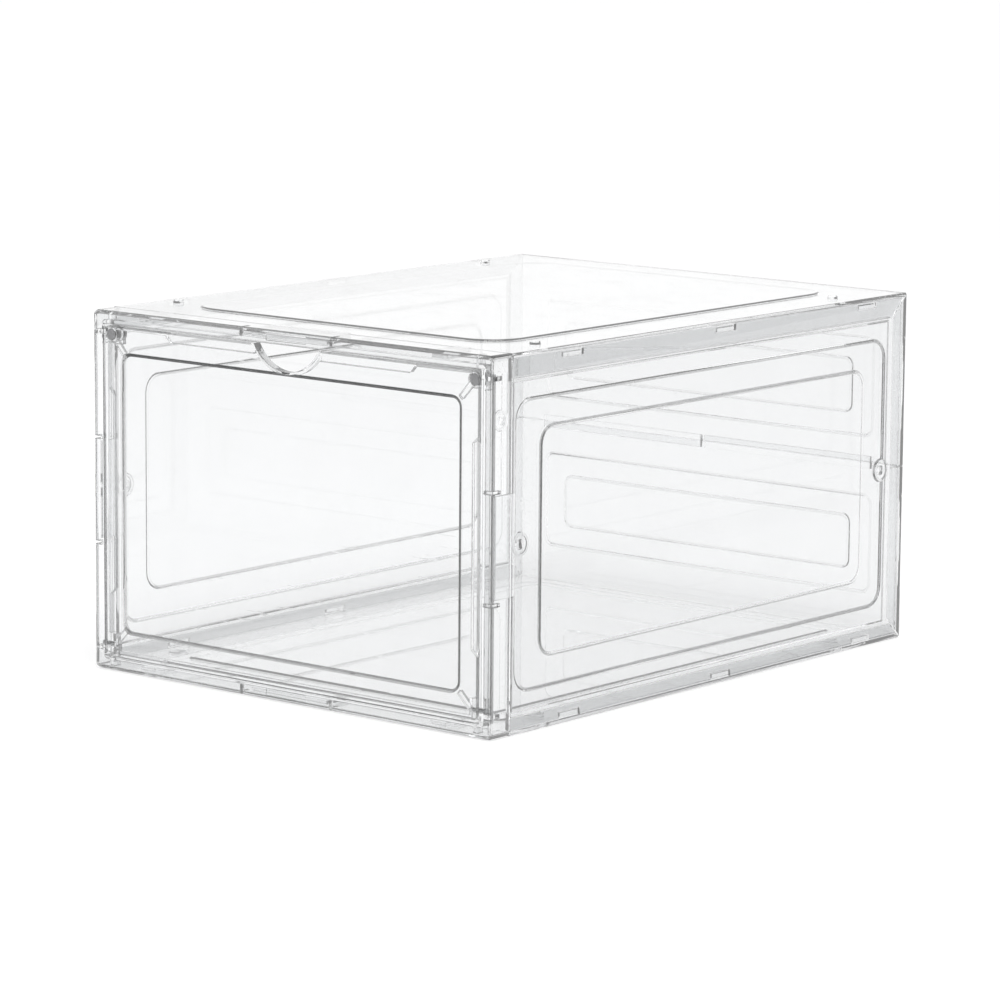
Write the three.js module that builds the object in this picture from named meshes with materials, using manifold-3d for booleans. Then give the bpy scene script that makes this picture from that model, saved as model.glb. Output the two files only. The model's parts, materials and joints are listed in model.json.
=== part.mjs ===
// A clear drop-front shoe box, sold flat and clipped together: two covers, two side panels, a back wall in two
// halves, and a front frame whose door drops open on two pins and is held shut by magnets.
// Millimetres, +Z up, the door faces -Y, and the origin is the centre of the footprint.
import * as THREE from "three";
import { mergeVertices } from "three/addons/utils/BufferGeometryUtils.js";
import Module from "manifold-3d";

const wasm = await Module();
wasm.setup();

// Driving dimensions of the closed box, over its outermost faces.
const WIDTH = 262;
const DEPTH = 340;
const HEIGHT = 184;

// Moulding sizes that every panel shares.
const WALL = 2; // thickness of every panel
const GAP = 0.3; // clearance between two panels
const TOP_BAND = 11.5; // height of the bevelled lips that wrap the side panels, on the top cover,
const BOTTOM_BAND = 8.5; // on the bottom cover,
const BACK_BAND = 12; // and on the back wall
const LIP_ROOT = 1.7; // thickness of a lip at the box's edge
const LIP_TIP = 0.6; // and at its free end
const EDGE_BREAK = 0.8; // small bevel on each outer edge
const EDGE_RADIUS = 3; // corners of the front frame and the covers
const PRESS_STEP = 1; // depth of each pressed step in a panel
const TOP_FIELD = 0.9; // height of the raised field on the top, which enters the bottom of the box above

// Front frame, a U-shaped channel bent into a ring.
const FRAME_DEPTH = 14.5;
const FRAME_ROUNDING = 1.6; // of the frame's front edges
const TOP_RAIL = 6.8; // width of the frame's face along the top,
const BOTTOM_RAIL = 7.6; // along the bottom
const SIDE_RAIL = 7.5; // and down the sides
const CHANNEL_DEPTH = 7.5; // depth of the channel's inner wall
const SHELF_THICKNESS = 2; // shelves that carry the frame's magnets and stop the door
const SLIT = 1.5; // cuts that free a springy tongue in each rail
const SLIT_DEPTH = 6;

// Door, a shallow tray that hangs in the frame.
const DOOR_THICKNESS = 4.8;
const DOOR_GAP = 0.6; // round the top and sides
const DOOR_FOOT = 8.6; // height of its lower edge above the ground
const DOOR_SKIN = 1.8;
const WINDOW_STEP = 1.2; // the window lies this far behind the door's border
const WINDOW_SLOPE = 0.9; // breadth of the sloping step round it
const WINDOW_HALF_WIDTH = 110.7;
const WINDOW_TOP = 163.1; // above the ground
const WINDOW_FOOT = 20.6;
const RIDGE = 3.4; // how far the thick parts of the door's edge stand in
const NOTCH_WIDTH = 42;
const NOTCH_DEPTH = 12.5;

// Hinge and magnets.
const PIVOT_HEIGHT = 13.5;
const PIVOT_DEPTH = 3.6; // behind the front face
const PIN_RADIUS = 1.3;
const FIT = 0.08; // clearance all round a pin or a magnet
const KNUCKLE_LENGTH = 6;
const KNUCKLE_TOP = 19; // above the ground
const KNUCKLE_BACK = 6.4; // behind the front face
const MAGNET_RADIUS = 3;
const MAGNET_THICKNESS = 2.6;
const MAGNET_X = 119;
const MAGNET_Y = 80; // above mid height

// Clips, tongues and pegs.
const CLIP_LENGTH = 16;
const CLIP_HEIGHT = 3.2;
const CLIP_PLACES = [-110, 12, 134]; // along the depth
const CLIP_DROP = 4; // from the box's top or bottom face
const TONGUE_LENGTH = 11.5;
const TONGUE_HALF = 25;
const TAB_HALF = 5;
const PEG_RADIUS = 3.2;
const PEG_HEIGHT = 1.6;
const PEG_PLACES = [-122, 122];
const PEG_X = 117;

const HALF_W = WIDTH / 2;
const HALF_D = DEPTH / 2;
const HALF_H = HEIGHT / 2;
const FRONT_END = -HALF_D + FRAME_DEPTH + GAP; // where the panels begin, behind the frame
const CORNER_STEPS = 6;
const ROUND_STEPS = 28;

// ---- solids ----

// A three.js geometry as a manifold-3d solid.
function solidOf(geometry) {
  const bare = geometry.index ? geometry.toNonIndexed() : geometry.clone();
  bare.deleteAttribute("normal");
  bare.deleteAttribute("uv");
  const merged = mergeVertices(bare, 1e-4);
  return new wasm.Manifold(
    new wasm.Mesh({
      numProp: 3,
      vertProperties: merged.attributes.position.array,
      triVerts: new Uint32Array(merged.index.array),
    }),
  );
}

// A solid as a three.js geometry with flat faces.
function geometryOf(solid) {
  const mesh = solid.getMesh();
  const geometry = new THREE.BufferGeometry();
  geometry.setAttribute("position", new THREE.BufferAttribute(mesh.vertProperties, 3));
  geometry.setIndex(new THREE.BufferAttribute(mesh.triVerts, 1));
  const flat = geometry.toNonIndexed();
  flat.computeVertexNormals();
  return flat;
}

// The mirror image of a flat-faced geometry, front to back along its local X.
function mirrorOf(geometry) {
  const copy = geometry.clone().scale(-1, 1, 1);
  const points = copy.attributes.position;
  for (let i = 0; i < points.count; i += 3) {
    for (const axis of ["X", "Y", "Z"]) {
      const kept = points[`get${axis}`](i + 1);
      points[`set${axis}`](i + 1, points[`get${axis}`](i + 2));
      points[`set${axis}`](i + 2, kept);
    }
  }
  copy.computeVertexNormals();
  return copy;
}

function block(x0, x1, y0, y1, z0, z1) {
  const geometry = new THREE.BoxGeometry(x1 - x0, y1 - y0, z1 - z0);
  geometry.translate((x0 + x1) / 2, (y0 + y1) / 2, (z0 + z1) / 2);
  return solidOf(geometry);
}

// A round post along local Z.
function post(radius, x, y, z0, z1, steps = ROUND_STEPS) {
  const geometry = new THREE.CylinderGeometry(radius, radius, z1 - z0, steps);
  geometry.rotateX(Math.PI / 2);
  geometry.translate(x, y, (z0 + z1) / 2);
  return solidOf(geometry);
}

// A round bar along X.
function bar(radius, x0, x1, y, z, steps = ROUND_STEPS) {
  const geometry = new THREE.CylinderGeometry(radius, radius, x1 - x0, steps);
  geometry.rotateZ(Math.PI / 2);
  geometry.translate((x0 + x1) / 2, y, z);
  return solidOf(geometry);
}

// A flat outline given by its corners, extruded from z0 to z1.
function plate(corners, z0, z1) {
  const shape = new THREE.Shape(corners.map(([x, y]) => new THREE.Vector2(x, y)));
  const geometry = new THREE.ExtrudeGeometry(shape, { depth: z1 - z0, bevelEnabled: false });
  geometry.translate(0, 0, z0);
  return solidOf(geometry);
}

// A rectangle with round corners, as a loop of points at height z, anticlockwise seen from outside.
const rect = (x0, x1, y0, y1, r) => ({ x0, x1, y0, y1, r });
const grown = ({ x0, x1, y0, y1, r }, by) => rect(x0 - by, x1 + by, y0 - by, y1 + by, Math.max(r + by, 0.4));
function loopOf([{ x0, x1, y0, y1, r }, z]) {
  const corners = [
    [x1 - r, y1 - r],
    [x0 + r, y1 - r],
    [x0 + r, y0 + r],
    [x1 - r, y0 + r],
  ];
  return corners.flatMap(([cx, cy], quarter) =>
    Array.from({ length: CORNER_STEPS + 1 }, (_, step) => {
      const angle = (quarter + step / CORNER_STEPS) * (Math.PI / 2);
      return [cx + r * Math.cos(angle), cy + r * Math.sin(angle), z];
    }),
  );
}

// A moulding swept round a rectangle. Each stage is [rectangle, height]. An open one starts at the middle of
// its back and ends at the middle of its front, and both are closed by flat ends. A ring joins last to first.
function moulding(stages, ring = false) {
  const loops = stages.map(loopOf);
  const count = loops[0].length;
  const points = loops.flat(2);
  const faces = [];
  const spans = ring ? loops.length : loops.length - 1;
  for (let k = 0; k < spans; k++) {
    const here = k * count;
    const next = ((k + 1) % loops.length) * count;
    for (let i = 0; i < count; i++) {
      const j = (i + 1) % count;
      faces.push(here + i, here + j, next + j, here + i, next + j, next + i);
    }
  }
  if (!ring) {
    const last = (loops.length - 1) * count;
    for (let i = 1; i < count - 1; i++) {
      faces.push(0, i + 1, i, last, last + i, last + i + 1);
    }
  }
  const geometry = new THREE.BufferGeometry();
  geometry.setAttribute("position", new THREE.Float32BufferAttribute(points, 3));
  geometry.setIndex(faces);
  return solidOf(geometry);
}

const ascending = (a, b) => a - b;
const joined = (solids) => solids.reduce((a, b) => a.add(b));
const mirrored = (make) => joined([make(-1), make(1)]);

// Cuts a panel's edge at 45 degrees along the box's edge. The panel ends at +Y (side 1) or -Y (side -1).
function mitred(solid, edge, side) {
  const size = 4 * DEPTH;
  const geometry = new THREE.BoxGeometry(size, size, size);
  geometry.translate(0, (side * size) / 2, 0);
  geometry.rotateX((-side * Math.PI) / 4);
  geometry.translate(0, edge - (side * GAP) / Math.SQRT2, 0);
  return solid.subtract(solidOf(geometry));
}

// ---- materials and nodes ----

const clearPlastic = new THREE.MeshStandardMaterial({
  name: "clear_plastic",
  color: 0xe9eff2,
  roughness: 0.05,
  metalness: 0,
  transparent: true,
  opacity: 0.3,
});
const nickelPlate = new THREE.MeshStandardMaterial({
  name: "nickel",
  color: 0xb4b6b9,
  roughness: 0.25,
  metalness: 1,
});
const steel = new THREE.MeshStandardMaterial({ name: "steel", color: 0x8f9296, roughness: 0.35, metalness: 1 });

function node(name, geometry, material) {
  const mesh = new THREE.Mesh(geometry, material);
  mesh.name = name;
  return mesh;
}

// Every panel is drawn flat, with its outer face towards local +Z and the box's outermost face at z = 0.

// The bevelled lips that hang from a panel's long edges, as the outer stages of its moulding.
function lipStages(edge, band) {
  return [
    [grown(edge, -LIP_ROOT), -WALL],
    [grown(edge, -LIP_ROOT), -band],
    [grown(edge, LIP_TIP - LIP_ROOT), -band],
    [edge, -EDGE_BREAK],
    [grown(edge, -EDGE_BREAK), 0],
  ];
}

// Pressed steps from the outside in: back stages run outwards from the middle, front stages run inwards.
// A step of negative depth is raised.
function pressed(steps) {
  let level = 0;
  const front = [];
  const back = [];
  for (const { outline, depth, slope } of steps) {
    const aside = (Math.sign(depth) * WALL) / 2;
    front.push([outline, level], [grown(outline, -slope), level - depth]);
    back.unshift([grown(outline, aside - slope), level - depth - WALL], [grown(outline, aside), level - WALL]);
    level -= depth;
  }
  return { front, back };
}

// ---- front frame ----

const OPENING_X = HALF_W - SIDE_RAIL;
const OPENING_TOP = HALF_H - TOP_RAIL;
const OPENING_FOOT = BOTTOM_RAIL - HALF_H;

function frameChannel() {
  const outer = rect(-HALF_W, HALF_W, -HALF_H, HALF_H, EDGE_RADIUS);
  const opening = rect(-OPENING_X, OPENING_X, OPENING_FOOT, OPENING_TOP, 0.4);
  return moulding(
    [
      [outer, -FRAME_DEPTH],
      [outer, -FRAME_ROUNDING],
      [grown(outer, -FRAME_ROUNDING * 0.3), -FRAME_ROUNDING * 0.3],
      [grown(outer, -FRAME_ROUNDING), 0],
      [grown(opening, EDGE_BREAK / 2), 0],
      [opening, -EDGE_BREAK / 2],
      [opening, -CHANNEL_DEPTH],
      [grown(opening, WALL), -CHANNEL_DEPTH],
      [grown(opening, WALL), -WALL],
      [grown(outer, -WALL), -WALL],
      [grown(outer, -WALL), -FRAME_DEPTH],
    ],
    true,
  );
}

// Corner shelves that stop the door's top corners, each with a cup that is open to the back for its magnet.
const CUP_FRONT = -DOOR_THICKNESS - DOOR_GAP;
const CUP_BACK = CUP_FRONT - MAGNET_THICKNESS - 1.4;
const CUP_WALL = 0.9;
const DOOR_MAGNET_DEPTH = 1.6;
function magnetShelves() {
  return mirrored((side) => {
    const x = side * (OPENING_X + WALL / 2);
    const inner = side * (MAGNET_X - 5);
    const shelf = block(
      Math.min(x, inner),
      Math.max(x, inner),
      MAGNET_Y - 5,
      OPENING_TOP + WALL / 2,
      CUP_FRONT - SHELF_THICKNESS,
      CUP_FRONT,
    );
    const cup = post(MAGNET_RADIUS + CUP_WALL, side * MAGNET_X, MAGNET_Y, CUP_BACK, CUP_FRONT);
    return shelf.add(cup);
  });
}

// Thin webs across the channel, which stiffen the ring beside each corner.
function channelWebs() {
  const webs = [];
  for (const side of [-1, 1]) {
    for (const [end, edge] of [
      [-1, OPENING_FOOT],
      [1, OPENING_TOP],
    ]) {
      const x = [side * (OPENING_X + WALL / 2), side * (HALF_W - WALL / 2)].sort(ascending);
      const y = [edge + (end * WALL) / 2, end * (HALF_H - WALL / 2)].sort(ascending);
      const across = end * (HALF_H - 11);
      const along = side * (HALF_W - 11);
      webs.push(block(...x, across - WALL / 2, across + WALL / 2, -CHANNEL_DEPTH, -WALL / 2));
      webs.push(block(along - WALL / 2, along + WALL / 2, ...y, -CHANNEL_DEPTH, -WALL / 2));
    }
  }
  return joined(webs);
}

// The cuts that free the springy tongues, and the shallow marks at the middle of the top and bottom rails.
function frameCuts() {
  const cuts = [];
  const tongueX = 29.5;
  const tongueY = 27;
  const markHalf = 13;
  const markHeight = 3.5;
  const reach = 2;
  const behindWall = WALL + GAP;
  for (const [side, edge] of [
    [-1, OPENING_FOOT],
    [1, OPENING_TOP],
  ]) {
    const x = [side * (OPENING_X + behindWall), side * (HALF_W + reach)].sort(ascending);
    const y = [edge + side * behindWall, side * (HALF_H + reach)].sort(ascending);
    for (const end of [-1, 1]) {
      const atX = end * tongueX;
      const atY = end * tongueY;
      cuts.push(block(atX - SLIT / 2, atX + SLIT / 2, ...y, -SLIT_DEPTH, reach));
      cuts.push(block(...x, atY - SLIT / 2, atY + SLIT / 2, -SLIT_DEPTH, reach));
    }
    const markMiddle = (edge + side * HALF_H) / 2;
    cuts.push(
      block(-markHalf, markHalf, markMiddle - markHeight / 2, markMiddle + markHeight / 2, -WALL / 4, reach),
    );
  }
  return joined(cuts);
}

const PIVOT_Y = PIVOT_HEIGHT - HALF_H;

function frontFrame() {
  const ring = joined([frameChannel(), magnetShelves(), channelWebs()]);
  const pockets = mirrored((side) =>
    post(MAGNET_RADIUS + FIT, side * MAGNET_X, MAGNET_Y, CUP_BACK - 1, CUP_BACK + MAGNET_THICKNESS + 0.4),
  );
  const pinHoles = mirrored((side) => {
    const ends = [side * (OPENING_X - 1), side * (OPENING_X + WALL + 0.5)].sort(ascending);
    return bar(PIN_RADIUS + FIT, ...ends, PIVOT_Y, -PIVOT_DEPTH);
  });
  return ring.subtract(joined([frameCuts(), pockets, pinHoles]));
}

// ---- door ----

const doorTop = OPENING_TOP - DOOR_GAP;
const doorEdge = rect(
  DOOR_GAP - OPENING_X,
  OPENING_X - DOOR_GAP,
  DOOR_FOOT - HALF_H,
  doorTop,
  EDGE_RADIUS,
);
const windowEdge = rect(
  -WINDOW_HALF_WIDTH,
  WINDOW_HALF_WIDTH,
  WINDOW_FOOT - HALF_H,
  WINDOW_TOP - HALF_H,
  5.5,
);

function doorTray() {
  return moulding([
    [grown(windowEdge, 0.3 - WINDOW_SLOPE), -WINDOW_STEP - DOOR_SKIN],
    [grown(windowEdge, 0.3), -DOOR_SKIN],
    [grown(doorEdge, -DOOR_SKIN), -DOOR_SKIN],
    [grown(doorEdge, -DOOR_SKIN), -DOOR_THICKNESS],
    [doorEdge, -DOOR_THICKNESS],
    [doorEdge, -EDGE_BREAK],
    [grown(doorEdge, -EDGE_BREAK), 0],
    [windowEdge, 0],
    [grown(windowEdge, -WINDOW_SLOPE), -WINDOW_STEP],
  ]);
}

// Ribs behind the mitres of the border, from each corner of the door to the window.
function mitreRibs() {
  const width = 2.6;
  const face = -1.4;
  const height = 2.4;
  const ribs = [];
  for (const side of [-1, 1]) {
    for (const [rim, pane] of [
      [doorEdge.y1 - 1.5, windowEdge.y1 - 0.5],
      [doorEdge.y0 + 1.5, windowEdge.y0 + 0.5],
    ]) {
      const rimX = side * (doorEdge.x1 - 1.5);
      const paneX = side * (windowEdge.x1 - 0.5);
      const length = Math.hypot(rimX - paneX, rim - pane);
      const geometry = new THREE.BoxGeometry(length, width, height);
      geometry.rotateZ(Math.atan2(rim - pane, rimX - paneX));
      geometry.translate((rimX + paneX) / 2, (rim + pane) / 2, face - height / 2);
      ribs.push(solidOf(geometry));
    }
  }
  return joined(ribs);
}

// The door's edge wall is thicker along the sides and on both sides of the notch. The ends slope.
function edgeRidges() {
  const inner = -DOOR_THICKNESS;
  const outer = -DOOR_SKIN / 2;
  const sideTop = 53;
  const topEnd = 82;
  const notchSide = NOTCH_WIDTH / 2;
  const x = doorEdge.x1 - DOOR_SKIN;
  const y = doorTop - DOOR_SKIN;
  const root = 0.5;
  return mirrored((side) => {
    const upright = [
      [side * (x + root), -sideTop],
      [side * (x - RIDGE), RIDGE - sideTop],
      [side * (x - RIDGE), sideTop - RIDGE],
      [side * (x + root), sideTop],
    ];
    const top = [
      [side * notchSide, y + root],
      [side * notchSide, y - RIDGE],
      [side * (topEnd - RIDGE), y - RIDGE],
      [side * topEnd, y + root],
    ];
    return plate(upright, inner, outer).add(plate(top, inner, outer));
  });
}

// The finger notch: a segment of a circle cut from the top edge, with the tray's edge wall carried round it.
const NOTCH_RADIUS = (NOTCH_WIDTH ** 2 / 4 + NOTCH_DEPTH ** 2) / (2 * NOTCH_DEPTH);
const NOTCH_CENTRE = doorTop - NOTCH_DEPTH + NOTCH_RADIUS;
function notched(door) {
  const steps = 72;
  const wall = post(NOTCH_RADIUS + DOOR_SKIN, 0, NOTCH_CENTRE, -DOOR_THICKNESS, 0, steps);
  const inside = block(-WIDTH, WIDTH, 0, doorTop, -DOOR_THICKNESS, 0);
  const hole = post(NOTCH_RADIUS, 0, NOTCH_CENTRE, -2 * DOOR_THICKNESS, DOOR_THICKNESS, steps);
  return door.add(wall.intersect(inside)).subtract(hole);
}

const KNUCKLE_END = doorEdge.x1;
function doorPanel() {
  const cups = mirrored((side) =>
    post(MAGNET_RADIUS + CUP_WALL, side * MAGNET_X, MAGNET_Y, -DOOR_THICKNESS, -1),
  );
  const knuckles = mirrored((side) => {
    const ends = [side * (KNUCKLE_END - KNUCKLE_LENGTH), side * KNUCKLE_END].sort(ascending);
    return block(...ends, DOOR_FOOT - HALF_H, KNUCKLE_TOP - HALF_H, -KNUCKLE_BACK, -1);
  });
  const body = notched(joined([doorTray(), mitreRibs(), edgeRidges()])).add(cups.add(knuckles));
  const pockets = mirrored((side) =>
    post(MAGNET_RADIUS + FIT, side * MAGNET_X, MAGNET_Y, -DOOR_THICKNESS - 1, -DOOR_MAGNET_DEPTH + 0.1),
  );
  const bores = mirrored((side) => {
    const ends = [side * (KNUCKLE_END - KNUCKLE_LENGTH + 1.2), side * (KNUCKLE_END + 1)].sort(ascending);
    return bar(PIN_RADIUS + FIT, ...ends, PIVOT_Y, -PIVOT_DEPTH);
  });
  return body.subtract(pockets.add(bores));
}

// ---- hinge pins and magnets, each drawn in the front frame's own axes ----

function hingePin(side) {
  const tip = KNUCKLE_END - KNUCKLE_LENGTH + 1.6;
  const end = OPENING_X + WALL + 1.5;
  return bar(PIN_RADIUS, ...[side * tip, side * end].sort(ascending), PIVOT_Y, -PIVOT_DEPTH);
}

const magnet = (side, front) => post(MAGNET_RADIUS, side * MAGNET_X, MAGNET_Y, front - MAGNET_THICKNESS, front);

// ---- covers: the top and bottom panels ----

// A panel with a lip down each long side, cut square behind the frame and mitred at the back.
function cover(steps, band) {
  const overrun = 40;
  const edge = rect(-HALF_W, HALF_W, -HALF_D - overrun, HALF_D + overrun, EDGE_RADIUS);
  const { front, back } = pressed(steps);
  const sheet = moulding([...back, ...lipStages(edge, band), ...front]);
  const square = block(-WIDTH, WIDTH, -DEPTH, FRONT_END, -HALF_H, HALF_H);
  const windows = mirrored((side) =>
    joined(
      CLIP_PLACES.map((place) => {
        const x = [side * (HALF_W - LIP_ROOT - 0.5), side * (HALF_W + 1)].sort(ascending);
        const half = CLIP_LENGTH / 2;
        return block(...x, place - half, place + half, -CLIP_DROP - CLIP_HEIGHT / 2, -CLIP_DROP + CLIP_HEIGHT / 2);
      }),
    ),
  );
  return mitred(sheet.subtract(square), HALF_D, 1).subtract(windows).add(coverTongues());
}

// The tongue and two tabs that slide into the frame's channel.
const TONGUE_TOP = -WALL - 0.4;
const TONGUE_BOTTOM = TONGUE_TOP - 1.9;
function coverTongues() {
  return joined(
    [
      [0, TONGUE_HALF],
      [-96, TAB_HALF],
      [96, TAB_HALF],
    ].map(([x, half]) => {
      const tip = FRONT_END - TONGUE_LENGTH;
      const root = FRONT_END + 5;
      const tongue = block(x - half, x + half, tip, root, TONGUE_BOTTOM, TONGUE_TOP);
      return tongue.add(block(x - half, x + half, FRONT_END, root, TONGUE_TOP - 0.5, -WALL / 2));
    }),
  );
}

const eachPeg = (make) =>
  joined([-1, 1].flatMap((side) => PEG_PLACES.map((place) => make(side * PEG_X, place))));

function topPanel() {
  const field = { outline: rect(-102.5, 102.5, -133.5, 144, 20), depth: -TOP_FIELD, slope: 0.6 };
  const pegs = eachPeg((x, y) => {
    const geometry = new THREE.CylinderGeometry(PEG_RADIUS - 0.8, PEG_RADIUS, PEG_HEIGHT + 1, ROUND_STEPS);
    geometry.rotateX(Math.PI / 2);
    geometry.translate(x, y, (PEG_HEIGHT - 1) / 2);
    return solidOf(geometry);
  });
  return cover([field], TOP_BAND).add(pegs);
}

function bottomPanel() {
  const outline = rect(-112, 112, -143, 157, 12);
  const steps = [
    { outline, depth: PRESS_STEP, slope: 1 },
    { outline: grown(outline, -12), depth: PRESS_STEP, slope: 1 },
  ];
  const cups = eachPeg((x, y) => post(PEG_RADIUS + 2, x, y, -PEG_HEIGHT - WALL, -WALL / 2));
  const sockets = eachPeg((x, y) => post(PEG_RADIUS + 0.6, x, y, -PEG_HEIGHT - 0.3, 1));
  return cover(steps, BOTTOM_BAND).add(cups).subtract(sockets);
}

// ---- side panel: local X runs from the front to the back, local Y is height above the middle ----

const SIDE_FACE = -0.3; // the panel is almost flush with the lips,
const REBATE_FACE = -WALL; // and steps in where they lap over it
const COLLAR_PLACES = [-148.6, 149.7];
function sidePanel() {
  const reach = HALF_H - WALL - GAP;
  const back = HALF_D - WALL - GAP;
  const edge = rect(FRONT_END, back, -reach, reach, 1);
  const exposed = rect(
    FRONT_END,
    HALF_D - BACK_BAND - GAP,
    BOTTOM_BAND + GAP - HALF_H,
    HALF_H - TOP_BAND - GAP,
    1,
  );
  const ring = rect(-150.6, 151.2, -71.5, 69, 10);
  const middle = rect(-132.5, 133.2, -56.5, 54.5, 9);
  const low = SIDE_FACE - PRESS_STEP;
  const sheet = moulding([
    [grown(middle, -0.8), SIDE_FACE - WALL],
    [middle, low - WALL],
    [grown(ring, 0.2), low - WALL],
    [grown(ring, 1), SIDE_FACE - WALL],
    [grown(exposed, -2.5), SIDE_FACE - WALL],
    [grown(exposed, -1.5), REBATE_FACE - WALL],
    [edge, REBATE_FACE - WALL],
    [edge, REBATE_FACE],
    [exposed, REBATE_FACE],
    [grown(exposed, -0.2), SIDE_FACE],
    [ring, SIDE_FACE],
    [grown(ring, -0.8), low],
    [grown(middle, 1), low],
    [grown(middle, 0.2), SIDE_FACE],
  ]);
  const clips = mirrored((side) =>
    joined(
      CLIP_PLACES.map((place) => {
        const half = CLIP_LENGTH / 2 - 0.8;
        const y = side * (HALF_H - CLIP_DROP - 0.3);
        return block(place - half, place + half, y - 1, y + 1, REBATE_FACE - 0.5, -0.7);
      }),
    ),
  );
  const collars = joined(COLLAR_PLACES.map((x) => post(6, x, 0, low - WALL, -0.05)));
  const dishes = joined(COLLAR_PLACES.map((x) => post(4.6, x, 0, SIDE_FACE - 0.3, 1)));
  const holes = joined(COLLAR_PLACES.map((x) => post(2.6, x, 0, -HALF_W / 2, 1)));
  const tip = FRONT_END - TONGUE_LENGTH;
  const tongueFace = REBATE_FACE - GAP;
  const tongue = block(tip, FRONT_END + 4, -TONGUE_HALF, TONGUE_HALF, tongueFace - 1.6, tongueFace);
  return joined([sheet, clips, collars, tongue]).subtract(holes.add(dishes));
}

// ---- half of the back wall: local Y is height above the middle, and this half lies below it ----

// The pressed ring runs from foot to head, both measured below the middle.
function backHalf(foot, head) {
  const overrun = 40;
  const edge = rect(-HALF_W, HALF_W, -HALF_H - overrun, HALF_H + overrun, EDGE_RADIUS);
  const ring = rect(-110.4, 110.4, -foot, -head, 5);
  const middle = grown(ring, -12);
  middle.x0 = -96.4;
  middle.x1 = 96.4;
  middle.r = 4;
  const sheet = moulding([
    [grown(middle, -0.8), -WALL],
    [middle, -PRESS_STEP - WALL],
    [grown(ring, 0.2), -PRESS_STEP - WALL],
    [grown(ring, 1), -WALL],
    ...lipStages(edge, BACK_BAND),
    [ring, 0],
    [grown(ring, -0.8), -PRESS_STEP],
    [grown(middle, 1), -PRESS_STEP],
    [grown(middle, 0.2), 0],
  ]);
  const above = block(-WIDTH, WIDTH, -GAP / 2, HEIGHT, -HALF_H, HALF_H);
  return mitred(sheet.subtract(above), -HALF_H, -1).add(seamTongue());
}

// A strip on the inner face of one side of each half, which laps over the other half across the seam.
function seamTongue() {
  const lap = 3.4;
  const root = block(-111, -1.2, -lap, -GAP / 2, -WALL - 2.1, -WALL / 2);
  const strip = block(-111, -1.2, -lap, lap, -WALL - 2.1, -WALL - GAP);
  return root.add(strip);
}

// ---- assembly ----

const X = new THREE.Vector3(1, 0, 0);
const Y = new THREE.Vector3(0, 1, 0);
const Z = new THREE.Vector3(0, 0, 1);

const box = new THREE.Group();

// Everything but the covers is drawn from mid height.
const middle = new THREE.Group();
middle.position.z = HALF_H;
box.add(middle);

const frontPieces = new THREE.Group();
frontPieces.rotation.x = Math.PI / 2;
frontPieces.position.y = -HALF_D;
middle.add(frontPieces);
frontPieces.add(node("front_frame", geometryOf(frontFrame()), clearPlastic));
frontPieces.add(node("door_panel", geometryOf(doorPanel()), clearPlastic));
for (const [name, side] of [
  ["left", -1],
  ["right", 1],
]) {
  const doorMagnetFace = -DOOR_MAGNET_DEPTH;
  const frameMagnetFace = CUP_BACK + MAGNET_THICKNESS + 0.2;
  frontPieces.add(node(`hinge_pin_${name}`, geometryOf(hingePin(side)), steel));
  frontPieces.add(node(`door_magnet_${name}`, geometryOf(magnet(side, doorMagnetFace)), nickelPlate));
  frontPieces.add(node(`frame_magnet_${name}`, geometryOf(magnet(side, frameMagnetFace)), nickelPlate));
}

// The right and left side panels are mirror images.
const rightSide = geometryOf(sidePanel());
for (const [name, geometry, x, outwards] of [
  ["right_side_panel", rightSide, HALF_W, X],
  ["left_side_panel", mirrorOf(rightSide), -HALF_W, X.clone().negate()],
]) {
  const side = node(name, geometry, clearPlastic);
  const along = name.startsWith("right") ? Y : Y.clone().negate();
  side.quaternion.setFromRotationMatrix(new THREE.Matrix4().makeBasis(along, Z, outwards));
  side.position.x = x;
  middle.add(side);
}

// The upper half of the back is drawn below mid height too, and turned over.
for (const [name, foot, head, turn] of [
  ["back_panel_lower", 70, 18, 0],
  ["back_panel_upper", 66.3, 14, Math.PI],
]) {
  const half = new THREE.Group();
  half.rotation.y = turn;
  middle.add(half);
  const back = node(name, geometryOf(backHalf(foot, head)), clearPlastic);
  back.quaternion.setFromRotationMatrix(new THREE.Matrix4().makeBasis(X.clone().negate(), Z, Y));
  back.position.y = HALF_D;
  half.add(back);
}

const top = node("top_panel", geometryOf(topPanel()), clearPlastic);
top.position.z = HEIGHT;
const bottom = node("bottom_panel", geometryOf(bottomPanel()), clearPlastic);
bottom.rotation.y = Math.PI;
box.add(top, bottom);

export default box;
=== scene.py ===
"""A clear drop-front shoe box: polished panels, plated magnets, steel hinge pins and a plain white stage."""

import json
import math

import bmesh
import bpy
from bpy.props import FloatProperty, FloatVectorProperty, PointerProperty
from mathutils import Matrix, Vector


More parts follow.
